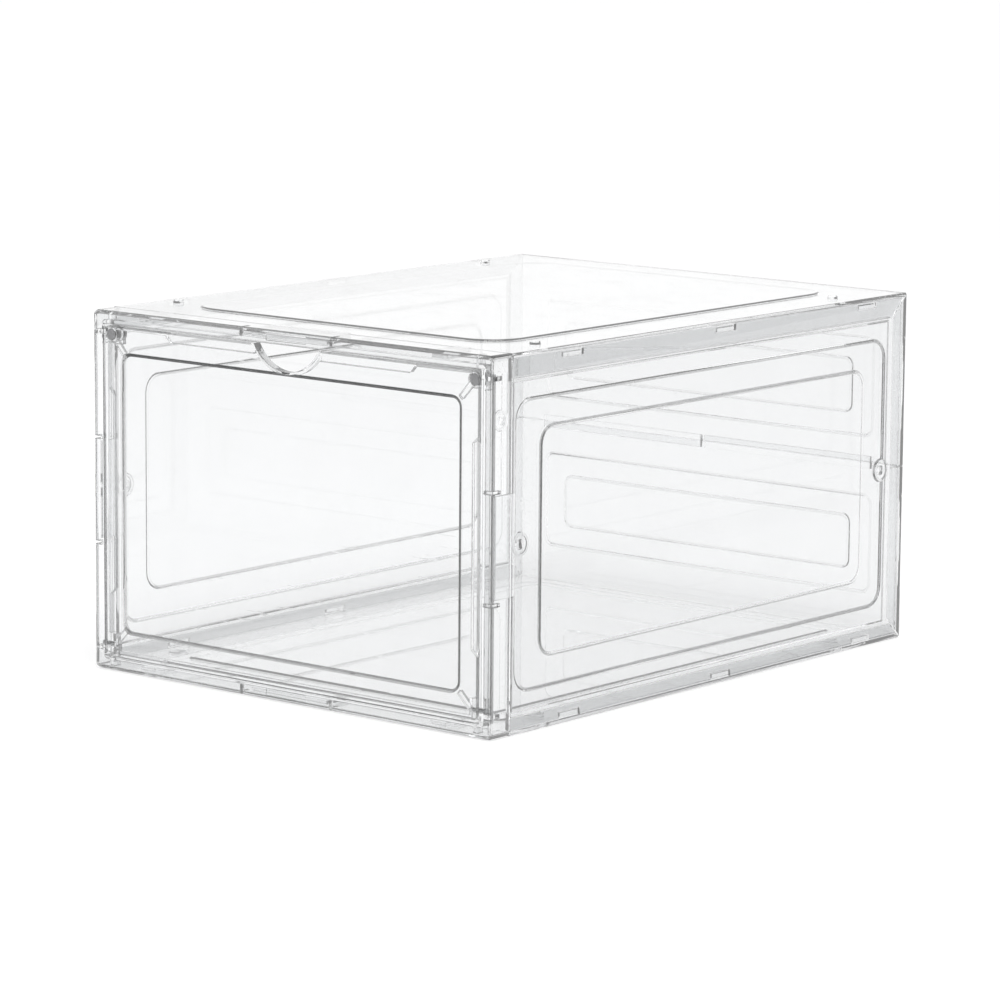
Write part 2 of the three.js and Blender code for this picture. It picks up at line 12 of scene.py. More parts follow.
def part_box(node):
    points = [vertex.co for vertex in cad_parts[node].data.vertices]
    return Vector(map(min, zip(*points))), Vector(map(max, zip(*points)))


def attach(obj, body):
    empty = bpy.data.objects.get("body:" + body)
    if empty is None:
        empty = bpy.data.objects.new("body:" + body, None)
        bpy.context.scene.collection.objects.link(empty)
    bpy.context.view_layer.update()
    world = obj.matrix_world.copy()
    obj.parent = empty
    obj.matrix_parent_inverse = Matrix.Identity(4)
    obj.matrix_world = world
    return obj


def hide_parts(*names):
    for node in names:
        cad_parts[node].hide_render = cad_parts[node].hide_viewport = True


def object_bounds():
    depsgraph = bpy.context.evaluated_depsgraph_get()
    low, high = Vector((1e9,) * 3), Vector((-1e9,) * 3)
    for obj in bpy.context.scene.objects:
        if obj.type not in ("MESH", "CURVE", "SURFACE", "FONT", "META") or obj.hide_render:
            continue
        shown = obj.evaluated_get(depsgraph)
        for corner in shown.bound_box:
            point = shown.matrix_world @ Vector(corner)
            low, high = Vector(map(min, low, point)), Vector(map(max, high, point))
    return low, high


bl_info = {
    "name": "Clear Drop-Front Shoe Box",
    "version": (1, 0, 0),
    "blender": (4, 5, 0),
    "location": "3D View > Sidebar > Shoe Box",
    "description": "Finishes a clear shoe box with a magnetic drop-front door around its packed frame",
    "category": "Object",
}

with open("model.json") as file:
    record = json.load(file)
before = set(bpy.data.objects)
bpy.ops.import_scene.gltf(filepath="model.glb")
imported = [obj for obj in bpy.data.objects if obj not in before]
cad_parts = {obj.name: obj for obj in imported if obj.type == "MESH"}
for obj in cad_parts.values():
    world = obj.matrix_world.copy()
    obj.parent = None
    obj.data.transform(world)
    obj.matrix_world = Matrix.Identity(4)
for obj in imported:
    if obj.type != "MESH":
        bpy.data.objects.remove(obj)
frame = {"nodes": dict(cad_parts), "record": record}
CAD_BOX = [list(corner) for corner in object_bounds()]

MM = 0.001

# Each clear panel: the body it rides on, the axis its sheet faces, and how strong the painted shade on its
# edges is.
PANELS = {
    "front_frame": ("box", "Y", 0.8),
    "door_panel": ("door", "Y", 0.7),
    "top_panel": ("box", "Z", 0.28),
    "bottom_panel": ("box", "Z", 0.16),
    "left_side_panel": ("box", "X", 0.34),
    "right_side_panel": ("box", "X", 0.5),
    "back_panel_upper": ("box", "Y", 0.16),
    "back_panel_lower": ("box", "Y", 0.16),
}

# Sorting the faces of a panel.
SAME_POINT = 0.001 * MM
SAME_PLANE = math.radians(0.5)
SHARP_ANGLE = math.radians(20)
FACING = 0.9  # a face looks along an axis when that axis's part of its normal is more than this
SLANTED = 0.7
EDGE_WIDTH = 5 * MM  # a slope or a wall narrower than this counts as an edge
STEP_WIDTH = 1.5 * MM  # and takes the full painted edge shade up to this width
ROOM_BESIDE = 2.2  # an edge takes a bevel where its faces are this many bevels wide
ROOM_ALONG = 3  # and it is this many bevels long
TINY = 1e-9

# Places on the box, in its own frame.
BOX_TOP = frame["record"]["mounts"][1]["pos_m"][2]
MIDDLE_HEIGHT = BOX_TOP / 2
FRONT_FACE = CAD_BOX[0][1]
RIGHT_FACE = CAD_BOX[1][0]
LIP_INSIDE = RIGHT_FACE - 2.5 * MM
RAIL_WIDTH = 8.4 * MM
RAIL_DEPTH = 3 * MM

# Painted shade on the flat faces, from 0, clear, to 1, the full painted band shade colour.
RAIL_BAND = 0.55
STILE_BAND = 0.2
DOOR_BAND = 0.15
SIDE_BAND = 0.38
BACK_BAND = 0.34
BACK_LIP_BAND = 0.6
PAINTED_BAND_LIMIT = 0.5  # a face with more painted band shade than this takes no painted edge shade

# The step round the door's window.
WINDOW_REACH = 112 * MM
WINDOW_SIDE = 108 * MM
WINDOW_FOOT = 19 * MM
WINDOW_TOP = 164 * MM
WINDOW_SILL = WINDOW_FOOT + 4 * MM
WINDOW_ROLL = 0.7 * MM  # how far the outer edge of the step is rolled over
# Painted shade on the step's left side and its sill, beside the full painted shade along its top and right.
LEFT_STEP_SHADE = 0.35
SILL_STEP_SHADE = 0.65
ON_FACE = 0.01 * MM

# How much painted shade the edges in some places take beside the rest of their panel's.
RAISED_SHARE = 0.1
RAIL_CUT_SHARE = 0.15
NOTCH_SHARE = 0.5
HOLE_SHARE = 0.1
COLLAR_SHARE = 1.6
NOTCH_REACH = 30 * MM

# The round collar at each end of the sides, how far back it is, and its hole and rim.
COLLARS = (-148.6 * MM, 149.7 * MM)
COLLAR_HOLE = 3.2 * MM
COLLAR_RIM = 6.4 * MM
COLLAR_FACE = RIGHT_FACE - 0.2 * MM
# Painted shade on the collars' faces and on the bottom lips.
COLLAR_SHADE = 0.2
BOTTOM_LIP_SHADE = 0.07

# Grain of the moulded surface, in waves to the metre.
RIPPLES = 9.0
SMUDGE_GRAIN = 34.0
SCRATCH_GRAIN = (40.0, 900.0, 620.0)
SCRATCH_TURN = (0.4, 0.3, 0.5)

CLEAR_IOR = 1.49

# How dull and how smudged the metals are, and how many sides a turned piece has.
PLATING_HAZE = 0.22
STEEL_HAZE = 0.3
METAL_SMUDGES = 0.2
METAL_RIPPLE = 0.002 * MM
TURNED_SIDES = 64

# A Mix node's colour sockets, which share their names with its other kinds.
MIX_A = 6
MIX_B = 7
MIX_RESULT = 2

# The stage. The camera stands to the front right, a little above the box.
CAMERA_PLACE = Vector((1.4762, -1.7968, 0.4713))
CAMERA_AZIMUTH = math.radians(39.49)
CAMERA_ELEVATION = math.radians(9.55)
CAMERA_ROLL = math.radians(0.46)
CAMERA_REACH = 100.0
FLOOR_REACH = 12.0
FLOOR_LEVEL = -0.2 * MM
FLOOR_ROUGHNESS = 0.7
SOFTBOX_PLACE = Vector((0.5, -0.4, 1.7))
SOFTBOX_SIZE = (1.2, 0.8)
HORIZON_TOP = math.radians(28)  # the surroundings begin to fade here
CEILING_EDGE = math.radians(62)  # and have faded here
CLEAR_BOUNCES = 32  # a line of sight crosses many clear walls
GLOSSY_BOUNCES = 12
GLOSSY_BLUR = 0.5


# ---- settings ----


class PlasticSettings(bpy.types.PropertyGroup):
    """The clear plastic that every panel is moulded in"""

    tint: FloatVectorProperty(
        name="Tint",
        description="Colour of what is seen through one panel",
        subtype="COLOR",
        size=3,
        min=0.0,
        max=1.0,
        default=(0.958, 0.962, 0.965),
    )
    # Painted shade: the dark colour painted on the steps and edges, where they bend the light away.
    painted_edge_shade_colour: FloatVectorProperty(
        name="Edge Tint",
        description="Colour of the steps and edges, which bend the light away",
        subtype="COLOR",
        size=3,
        min=0.0,
        max=1.0,
        default=(0.02, 0.021, 0.022),
    )
    # Painted shade: the grey painted on the lips and rails round the box, and more faintly on the flat
    # sheets.
    painted_band_shade_colour: FloatVectorProperty(
        name="Band Tint",
        description="Colour of the satin lips and rails round the box",
        subtype="COLOR",
        size=3,
        min=0.0,
        max=1.0,
        default=(0.755, 0.76, 0.765),
    )
    # Painted glow: the plastic emits a little light at every hit, inside it too, so the light it traps shows
    # grey instead of black.
    painted_edge_glow: FloatProperty(
        name="Edge Glow",
        description="Light the plastic pipes to its edges, gathered at every bounce inside it",
        min=0.0,
        default=0.016,
    )
    bevel: FloatProperty(
        name="Bevel",
        description="Width of the small bevel on every moulded edge",
        min=0.0,
        unit="LENGTH",
        default=0.0002,
    )
    haze: FloatProperty(
        name="Haze",
        description="Roughness of the clean, polished surface",
        min=0.0,
        max=1.0,
        default=0.012,
    )
    ripple: FloatProperty(
        name="Ripple",
        description="Depth of the slow waves left by moulding",
        min=0.0,
        unit="LENGTH",
        default=0.00004,
    )


class MetalSettings(bpy.types.PropertyGroup):
    """The magnets and the hinge pins"""

    plating: FloatVectorProperty(
        name="Plating",
        description="Colour of the magnets' nickel plating",
        subtype="COLOR",
        size=3,
        min=0.0,
        max=1.0,
        default=(0.22, 0.22, 0.225),
    )
    steel: FloatVectorProperty(
        name="Steel",
        description="Colour of the hinge pins",
        subtype="COLOR",
        size=3,
        min=0.0,
        max=1.0,
        default=(0.32, 0.325, 0.33),
    )
    chamfer: FloatProperty(
        name="Chamfer",
        description="Width of the chamfer on the magnets and pins",
        min=0.0,
        unit="LENGTH",
        default=0.00035,
    )


class StageSettings(bpy.types.PropertyGroup):
    """Floor, backdrop and light"""

    floor: FloatVectorProperty(
        name="Floor",
        description="Colour of the floor",
        subtype="COLOR",
        size=3,
        min=0.0,
        max=1.0,
        default=(0.45, 0.45, 0.45),
    )
    floor_glow: FloatProperty(
        name="Floor Glow",
        description="Light that comes up through the floor",
        min=0.0,
        default=0.64,
    )
    backdrop: FloatProperty(
        name="Backdrop",
        description="Brightness of the white surroundings",
        min=0.0,
        default=1.27,
    )
    ceiling: FloatProperty(
        name="Ceiling",
        description="Brightness straight overhead, which the plastic's edges pick up",
        min=0.0,
        default=0.8,
    )
    softbox: FloatProperty(
        name="Softbox",
        description="Power of the softbox",
        min=0.0,
        unit="POWER",
        default=12.0,
    )
    lens: FloatProperty(
        name="Lens",
        description="Focal length of the camera in millimetres",
        min=1.0,
        default=164.1,
    )


# ---- shader nodes ----


def add_node(tree, kind, **settings):
    """Adds a shader or geometry node and sets its attributes and inputs by name."""
    made = tree.nodes.new(kind)
    for name, value in settings.items():
        if name in made.bl_rna.properties:
            setattr(made, name, value)
        else:
            made.inputs[name.replace("_", " ")].default_value = value
    return made


def maths(tree, operation, a, b, **settings):
    """A sum on two numbers or sockets."""
    node = add_node(tree, "ShaderNodeMath", operation=operation, **settings)
    for socket, value in zip(node.inputs, (a, b)):
        if isinstance(value, (int, float)):
            socket.default_value = value
        else:
            tree.links.new(value, socket)
    return node.outputs["Value"]


def remapped(tree, value, reach, result, **settings):
    """Stretches a socket's values from one range to another."""
    node = add_node(tree, "ShaderNodeMapRange", **settings)
    for name, number in zip(("From Min", "From Max", "To Min", "To Max"), (*reach, *result)):
        node.inputs[name].default_value = number
    tree.links.new(value, node.inputs["Value"])
    return node.outputs["Result"]


def noise(tree, place, scale, detail, roughness):
    node = add_node(tree, "ShaderNodeTexNoise", Scale=scale, Detail=detail, Roughness=roughness)
    tree.links.new(place, node.inputs["Vector"])
    return node.outputs["Fac"]


def surface_detail_group():
    """Faint haze, fingertip smudges, fine scratches and slow moulding ripples, at their real size."""
    if "Moulded surface" in bpy.data.node_groups:
        return bpy.data.node_groups["Moulded surface"]
    group = bpy.data.node_groups.new("Moulded surface", "ShaderNodeTree")
    for name, default in (
        ("Haze", 0.012),
        ("Smudges", 0.05),
        ("Ripple depth", 0.04 * MM),
        ("Scratch depth", 0.004 * MM),
    ):
        socket = group.interface.new_socket(name, in_out="INPUT", socket_type="NodeSocketFloat")
        socket.default_value = default
    for name in ("Roughness", "Tone", "Height"):
        group.interface.new_socket(name, in_out="OUTPUT", socket_type="NodeSocketFloat")
    values = group.nodes.new("NodeGroupInput").outputs
    results = group.nodes.new("NodeGroupOutput").inputs
    link = group.links.new
    place = add_node(group, "ShaderNodeTexCoord").outputs["Object"]

    ripple = noise(group, place, RIPPLES, 1.5, 0.4)
    smudge = noise(group, place, SMUDGE_GRAIN, 5.0, 0.62)
    smudge_mask = remapped(group, smudge, (0.52, 0.78), (0.0, 1.0), interpolation_type="SMOOTHSTEP")
    stretched = add_node(group, "ShaderNodeMapping", Rotation=SCRATCH_TURN, Scale=SCRATCH_GRAIN)
    link(place, stretched.inputs["Vector"])
    scratch = noise(group, stretched.outputs["Vector"], 1.0, 2.0, 0.5)
    scratch_mask = remapped(group, scratch, (0.66, 0.74), (0.0, 1.0))

    smudge_roughness = maths(group, "MULTIPLY", smudge_mask, values["Smudges"])
    link(maths(group, "ADD", smudge_roughness, values["Haze"], use_clamp=True), results["Roughness"])
    link(remapped(group, smudge, (0.3, 0.7), (0.985, 1.0)), results["Tone"])
    ripple_height = maths(group, "MULTIPLY", ripple, values["Ripple depth"])
    scratch_height = maths(group, "MULTIPLY", scratch_mask, values["Scratch depth"])
    link(maths(group, "SUBTRACT", ripple_height, scratch_height), results["Height"])
    return group


def start_material(name):
    """A new material, its Principled surface, its moulded-surface group and the Mix that tones its colour."""
    material = bpy.data.materials.new(name)
    material.use_nodes = True
    tree = material.node_tree
    tree.nodes.clear()
    link = tree.links.new
    output = tree.nodes.new("ShaderNodeOutputMaterial")
    surface = tree.nodes.new("ShaderNodeBsdfPrincipled")
    link(surface.outputs["BSDF"], output.inputs["Surface"])
    detail = tree.nodes.new("ShaderNodeGroup")
    detail.node_tree = surface_detail_group()
    bump = add_node(tree, "ShaderNodeBump", Strength=1.0, Distance=1.0)
    link(detail.outputs["Height"], bump.inputs["Height"])
    link(bump.outputs["Normal"], surface.inputs["Normal"])
    link(detail.outputs["Roughness"], surface.inputs["Roughness"])
    tone = add_node(tree, "ShaderNodeMix", data_type="RGBA", blend_type="MULTIPLY")
    tone.inputs["Factor"].default_value = 1.0
    link(detail.outputs["Tone"], tone.inputs[MIX_B])
    link(tone.outputs[MIX_RESULT], surface.inputs["Base Color"])
    return material, surface, detail, tone


def clear_plastic(settings):
    """Clear plastic with painted shade, grey on the faces marked as a band and dark on those marked as an
    edge, and a faint painted glow.
    """
    name = "Clear polished plastic"
    if name in bpy.data.materials:
        return bpy.data.materials[name]
    material, surface, detail, tone = start_material(name)
    tree = material.node_tree
    colour = None
    # Painted shade: each mark mixes its shade colour into the plastic's tint.
    for painted_shade_mark, tint in (("band", settings.painted_band_shade_colour), ("edge", settings.painted_edge_shade_colour)):
        painted_shade_strength = add_node(tree, "ShaderNodeAttribute", attribute_name=painted_shade_mark)
        layer = add_node(tree, "ShaderNodeMix", data_type="RGBA")
        tree.links.new(painted_shade_strength.outputs["Fac"], layer.inputs["Factor"])
        if colour is None:
            layer.inputs[MIX_A].default_value = (*settings.tint, 1.0)
        else:
            tree.links.new(colour, layer.inputs[MIX_A])
        layer.inputs[MIX_B].default_value = (*tint, 1.0)
        colour = layer.outputs[MIX_RESULT]
    tree.links.new(colour, tone.inputs[MIX_A])
    detail.inputs["Haze"].default_value = settings.haze
    detail.inputs["Ripple depth"].default_value = settings.ripple
    surface.inputs["Metallic"].default_value = 0.0
    surface.inputs["IOR"].default_value = CLEAR_IOR
    surface.inputs["Transmission Weight"].default_value = 1.0
    # Painted glow: a faint emission on all the plastic.
    surface.inputs["Emission Color"].default_value = (1.0, 1.0, 1.0, 1.0)
    surface.inputs["Emission Strength"].default_value = settings.painted_edge_glow
    return material


def plated_metal(name, colour, haze):
    """A plain metal with fine scratches and smudges."""
    material, surface, detail, tone = start_material(name)
    tone.inputs[MIX_A].default_value = (*colour, 1.0)
    detail.inputs["Haze"].default_value = haze
    detail.inputs["Smudges"].default_value = METAL_SMUDGES
    detail.inputs["Ripple depth"].default_value = METAL_RIPPLE
    surface.inputs["Metallic"].default_value = 1.0
    return material


# ---- geometry nodes ----


def turned_tree():
    """A chamfered disc or pin and its twin, the given spacing apart along X about the centre."""
    if "Turned parts" in bpy.data.node_groups:
        return bpy.data.node_groups["Turned parts"]
    tree = bpy.data.node_groups.new("Turned parts", "GeometryNodeTree")
    for name, kind, default in (
        ("Radius", "NodeSocketFloat", 3.0 * MM),
        ("Length", "NodeSocketFloat", 2.6 * MM),
        ("Chamfer", "NodeSocketFloat", 0.3 * MM),
        ("Centre", "NodeSocketVector", (0.0, 0.0, 0.0)),
        ("Spacing", "NodeSocketFloat", 200.0 * MM),
        ("Turn", "NodeSocketVector", (0.0, 0.0, 0.0)),
        ("Material", "NodeSocketMaterial", None),
    ):
        socket = tree.interface.new_socket(name, in_out="INPUT", socket_type=kind)
        if default is not None:
            socket.default_value = default
    tree.interface.new_socket("Geometry", in_out="OUTPUT", socket_type="NodeSocketGeometry")
    inputs = tree.nodes.new("NodeGroupInput").outputs
    outputs = tree.nodes.new("NodeGroupOutput").inputs
    link = tree.links.new

    def disc(radius, length):
        node = add_node(tree, "GeometryNodeMeshCylinder", Vertices=TURNED_SIDES)
        link(radius, node.inputs["Radius"])
        link(length, node.inputs["Depth"])
        return node.outputs["Mesh"]

    # The hull of a narrow long disc and a wide short one is a disc with a chamfer at each rim.
    both_chamfers = maths(tree, "MULTIPLY", inputs["Chamfer"], 2.0)
    narrow = disc(maths(tree, "SUBTRACT", inputs["Radius"], inputs["Chamfer"]), inputs["Length"])
    wide = disc(inputs["Radius"], maths(tree, "SUBTRACT", inputs["Length"], both_chamfers))
    joined = tree.nodes.new("GeometryNodeJoinGeometry")
    link(narrow, joined.inputs["Geometry"])
    link(wide, joined.inputs["Geometry"])
    hull = tree.nodes.new("GeometryNodeConvexHull")
    link(joined.outputs["Geometry"], hull.inputs["Geometry"])

    step = tree.nodes.new("ShaderNodeCombineXYZ")
    link(inputs["Spacing"], step.inputs["X"])
    start = tree.nodes.new("ShaderNodeCombineXYZ")
    link(maths(tree, "DIVIDE", inputs["Spacing"], -2.0), start.inputs["X"])
    first = add_node(tree, "ShaderNodeVectorMath", operation="ADD")
    link(inputs["Centre"], first.inputs[0])
    link(start.outputs["Vector"], first.inputs[1])
    line = add_node(tree, "GeometryNodeMeshLine", Count=2)
    link(first.outputs["Vector"], line.inputs["Start Location"])
    link(step.outputs["Vector"], line.inputs["Offset"])
    placed = tree.nodes.new("GeometryNodeInstanceOnPoints")
    link(line.outputs["Mesh"], placed.inputs["Points"])
    link(hull.outputs["Convex Hull"], placed.inputs["Instance"])
    link(inputs["Turn"], placed.inputs["Rotation"])
    real = tree.nodes.new("GeometryNodeRealizeInstances")
    link(placed.outputs["Instances"], real.inputs["Geometry"])
    finish = tree.nodes.new("GeometryNodeSetMaterial")
    link(real.outputs["Geometry"], finish.inputs["Geometry"])
    link(inputs["Material"], finish.inputs["Material"])
    link(finish.outputs["Geometry"], outputs["Geometry"])
    return tree


def grown_from(tree, name, values):
    """Runs a geometry tree with the given inputs and keeps the result as a plain mesh piece."""
    seed = bpy.data.objects.new(name + "_seed", bpy.data.meshes.new(name + "_seed"))
    bpy.context.scene.collection.objects.link(seed)
    modifier = seed.modifiers.new("Grow", "NODES")
    modifier.node_group = tree
    for item in tree.interface.items_tree:
        if item.in_out == "INPUT" and item.name in values:
            modifier[item.identifier] = values[item.name]
    bpy.context.view_layer.update()
    evaluated = seed.evaluated_get(bpy.context.evaluated_depsgraph_get())
    mesh = bpy.data.meshes.new_from_object(evaluated)
    seed.modifiers.remove(modifier)
    bpy.data.objects.remove(seed)
    if not mesh.polygons:
        raise RuntimeError(f"{name} came out empty")
    mesh.name = name
    return placed_piece(name, mesh)


def placed_piece(name, mesh):
    """A mesh as an object in the scene, at the origin."""
    piece = bpy.data.objects.new(name, mesh)
    bpy.context.scene.collection.objects.link(piece)
    return piece


def turned_pair(name, nodes, along, across, turn, chamfer, material):
    """A pair of chamfered discs or pins in the place of two nodes, from the nodes' own sizes."""
    low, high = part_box(nodes[0])
    far_low, far_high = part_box(nodes[1])
    left, right = (low + high) / 2, (far_low + far_high) / 2
    values = {
        "Radius": getattr(high - low, across) / 2,
        "Length": getattr(high - low, along),
        "Chamfer": chamfer,
        "Centre": (left + right) / 2,
        "Spacing": right.x - left.x,
        "Turn": turn,
        "Material": material,
    }
    return grown_from(turned_tree(), name, values)


# ---- panels ----


def breadth(face):
    """Width of a long thin face, or about half the width of a square one."""
    return 2 * face.calc_area() / max(face.calc_perimeter(), TINY)


def faces_along(face, axis):
    return abs(getattr(face.normal, axis.lower())) > FACING


def from_middle(place):
    """Height above or below the middle of the box."""
    return abs(place.z - MIDDLE_HEIGHT)


def in_rail(place):
    """True as high or as low as the frame's rails and the lips along the sides."""
    return from_middle(place) > MIDDLE_HEIGHT - RAIL_WIDTH


def painted_band_shade_strength(name, face):
    """How much painted band shade a face takes: the lips that wrap the box most, then the frame's rails and
    the walls.
    """
    centre = face.calc_center_median()
    wraps = faces_along(face, "X") and abs(centre.x) > LIP_INSIDE
    if name == "front_frame":
        if faces_along(face, "Y") and centre.y < FRONT_FACE + RAIL_DEPTH:
            return RAIL_BAND if in_rail(centre) else STILE_BAND
        return 0.0
    if name == "door_panel":
        return DOOR_BAND if faces_along(face, "Y") else 0.0
    if name.endswith("side_panel"):
        if wraps and in_rail(centre):
            return 1.0
        return SIDE_BAND if faces_along(face, "X") else 0.0
    if name.startswith("back"):
        if wraps:
            return BACK_LIP_BAND
        return BACK_BAND if faces_along(face, "Y") else 0.0
    return 1.0 if wraps else 0.0


def painted_edge_shade_strength(axis, face):
    """How much painted shade an edge takes: a narrow slope fully, a deep wall less and a flat sheet not at
    all.
    """
    if faces_along(face, axis) or breadth(face) > EDGE_WIDTH:
        return 0.0
    return STEP_WIDTH / max(breadth(face), STEP_WIDTH)


def painted_edge_shade_share(name, face):
    """How much painted shade an edge in a special place takes beside the panel's other edges."""
    centre = face.calc_center_median()
    if centre.z > BOX_TOP:
        return RAISED_SHARE
    if name == "front_frame" and in_rail(centre) and abs(face.normal.x) > SLANTED:
        return RAIL_CUT_SHARE
    if name == "door_panel" and abs(centre.x) < NOTCH_REACH and centre.z > WINDOW_TOP:
        return NOTCH_SHARE
    if name.endswith("side_panel"):
        from_hole = min(math.hypot(centre.y - place, from_middle(centre)) for place in COLLARS)
        if from_hole < COLLAR_HOLE:
            return HOLE_SHARE
        if from_hole < COLLAR_RIM:
            return COLLAR_SHARE
    return 1.0


def in_window(place):
    """True at the step round the door's window."""
    return abs(place.x) < WINDOW_REACH and WINDOW_FOOT < place.z < WINDOW_TOP


def window_painted_shade(place):
    """The painted shade on the step round the window is darkest of all, most along its top and right."""
    if place.x < -WINDOW_SIDE:
        return LEFT_STEP_SHADE
    return SILL_STEP_SHADE if place.z < WINDOW_SILL else 1.0


def is_corner(edge):
    """True where two faces meet at a sharp angle."""
    return edge.is_manifold and edge.calc_face_angle() >= SHARP_ANGLE


def on_window_edge(name, edge):
    """True on the outer edge of the step round the door's window."""
    if name != "door_panel" or not is_corner(edge):
        return False
    return all(abs(vert.co.y - FRONT_FACE) < ON_FACE and in_window(vert.co) for vert in edge.verts)


def takes_bevel(name, edge, bevel):
    """True on a sharp edge that has room for a bevel on both sides."""
    if not is_corner(edge) or on_window_edge(name, edge):
        return False
    room_beside = all(breadth(face) > ROOM_BESIDE * bevel for face in edge.link_faces)
    return room_beside and edge.calc_length() > ROOM_ALONG * bevel


def whole_faces(name):
    """A panel's mesh with its doubles merged and each flat face in one piece, ready to be marked."""
    work = bmesh.new()
    work.from_mesh(frame["nodes"][name].data)
    bmesh.ops.remove_doubles(work, verts=work.verts, dist=SAME_POINT)
    bmesh.ops.dissolve_limit(work, angle_limit=SAME_PLANE, verts=work.verts, edges=work.edges)
    if name == "front_frame":
        for height in (RAIL_WIDTH, BOX_TOP - RAIL_WIDTH):
            everything = work.verts[:] + work.edges[:] + work.faces[:]
            bmesh.ops.bisect_plane(work, geom=everything, plane_co=(0, 0, height), plane_no=(0, 0, 1))
    # The painted shade marks: edge for the dark steps and edges, band for the grey lips and sheets.
    for painted_shade_mark in ("edge", "band"):
        work.faces.layers.float.new(painted_shade_mark)
    return work


def roll_window_edge(work, painted_edge_shade_mark):
    """Rolls over the outer edge of the step round the door's window, and paints shade on the whole step."""
    outer = [edge for edge in work.edges if on_window_edge("door_panel", edge)]
    rolled = bmesh.ops.bevel(work, geom=outer, offset=WINDOW_ROLL, segments=2, affect="EDGES", profile=0.5)
    for face in rolled["faces"]:
        face[painted_edge_shade_mark] = 1.0
    for face in work.faces:
        place = face.calc_center_median()
        if face[painted_edge_shade_mark] > 0 and in_window(place):
            face[painted_edge_shade_mark] = window_painted_shade(place)


def smooth_slopes(work, painted_edge_shade_mark):
    """Shades the narrow slopes and bevels smooth across their own joins, and leaves every flat face flat."""
    for edge in work.edges:
        narrow = all(face[painted_edge_shade_mark] > 0 for face in edge.link_faces)
        edge.smooth = narrow and edge.is_manifold and edge.calc_face_angle() < SHARP_ANGLE
    for face in work.faces:
        face.smooth = True


def shade_lips(name, work, painted_edge_shade_mark, painted_band_shade_mark):
    """Paints a little shade on the faces of the collars and of the bottom lips."""
    for face in work.faces:
        if name.endswith("side_panel") and abs(face.calc_center_median().x) > COLLAR_FACE:
            face[painted_edge_shade_mark] = COLLAR_SHADE
        elif name == "bottom_panel" and face[painted_band_shade_mark] > PAINTED_BAND_LIMIT:
            face[painted_edge_shade_mark] = BOTTOM_LIP_SHADE


def polished(name, axis, painted_shade_strength, bevel):
    """A copy of a panel with whole faces, small bevels and its painted edge shade and painted band shade
    marked.
    """
    work = whole_faces(name)
    painted_edge_shade_mark = work.faces.layers.float["edge"]
    painted_band_shade_mark = work.faces.layers.float["band"]
    # Paint band shade and edge shade on each face.
    for face in work.faces:
        face[painted_band_shade_mark] = painted_band_shade_strength(name, face)
        if face[painted_band_shade_mark] < PAINTED_BAND_LIMIT:
            face[painted_edge_shade_mark] = painted_shade_strength * painted_edge_shade_strength(axis, face) * painted_edge_shade_share(name, face)
    corners = [edge for edge in work.edges if takes_bevel(name, edge, bevel)]
    bmesh.ops.triangulate(work, faces=work.faces, quad_method="BEAUTY", ngon_method="BEAUTY")
    broken = bmesh.ops.bevel(work, geom=corners, offset=bevel, segments=1, affect="EDGES", profile=0.5)
    # Painted edge shade on the bevels.
    for face in broken["faces"]:
        face[painted_edge_shade_mark] = painted_shade_strength * painted_edge_shade_share(name, face)
        face[painted_band_shade_mark] = 0.0
    if name == "door_panel":
        roll_window_edge(work, painted_edge_shade_mark)
    smooth_slopes(work, painted_edge_shade_mark)
    shade_lips(name, work, painted_edge_shade_mark, painted_band_shade_mark)
    mesh = bpy.data.meshes.new(name + "_polished")
    work.to_mesh(mesh)
    work.free()
    return placed_piece(name + "_polished", mesh)


def finish_panels(context, *names):
    """Puts a polished copy in clear plastic in the place of each named panel."""
    settings = context.scene.shoebox_plastic
    material = clear_plastic(settings)
    for name in names:
        body, axis, painted_shade_strength = PANELS[name]
        piece = polished(name, axis, painted_shade_strength, settings.bevel)
        piece.data.materials.append(material)
        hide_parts(name)
        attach(piece, body)


# ---- operators ----


class SHOEBOX_OT_front_frame(bpy.types.Operator):
    """Finish the frame that the door hangs in"""

    bl_idname = "shoebox.front_frame"
    bl_label = "Front Frame"

    def execute(self, context):
        finish_panels(context, "front_frame")
        return {"FINISHED"}


class SHOEBOX_OT_door(bpy.types.Operator):
    """Finish the door and the step round its window"""

    bl_idname = "shoebox.door"
    bl_label = "Door"

    def execute(self, context):
        finish_panels(context, "door_panel")
        return {"FINISHED"}


class SHOEBOX_OT_covers(bpy.types.Operator):
    """Finish the top and bottom covers"""

    bl_idname = "shoebox.covers"
    bl_label = "Covers"

    def execute(self, context):
        finish_panels(context, "top_panel", "bottom_panel")
        return {"FINISHED"}


class SHOEBOX_OT_sides(bpy.types.Operator):
    """Finish the two side panels"""

    bl_idname = "shoebox.sides"
    bl_label = "Sides"

    def execute(self, context):
        finish_panels(context, "left_side_panel", "right_side_panel")
        return {"FINISHED"}


class SHOEBOX_OT_back(bpy.types.Operator):
    """Finish the two halves of the back"""

    bl_idname = "shoebox.back"
    bl_label = "Back"

    def execute(self, context):
        finish_panels(context, "back_panel_upper", "back_panel_lower")
        return {"FINISHED"}


class SHOEBOX_OT_magnets(bpy.types.Operator):
    """Turn the four nickel-plated magnets with chamfered rims"""

    bl_idname = "shoebox.magnets"
    bl_label = "Magnets"

    def execute(self, context):
        settings = context.scene.shoebox_metal
        material = plated_metal("Nickel plating", settings.plating, PLATING_HAZE)
        flat_against_door = (math.pi / 2, 0.0, 0.0)
        for name, body, nodes in (
            ("door_magnets", "door", ("door_magnet_left", "door_magnet_right")),
            ("frame_magnets", "box", ("frame_magnet_left", "frame_magnet_right")),
        ):
            piece = turned_pair(name, nodes, "y", "x", flat_against_door, settings.chamfer, material)
            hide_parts(*nodes)
            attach(piece, body)
        return {"FINISHED"}


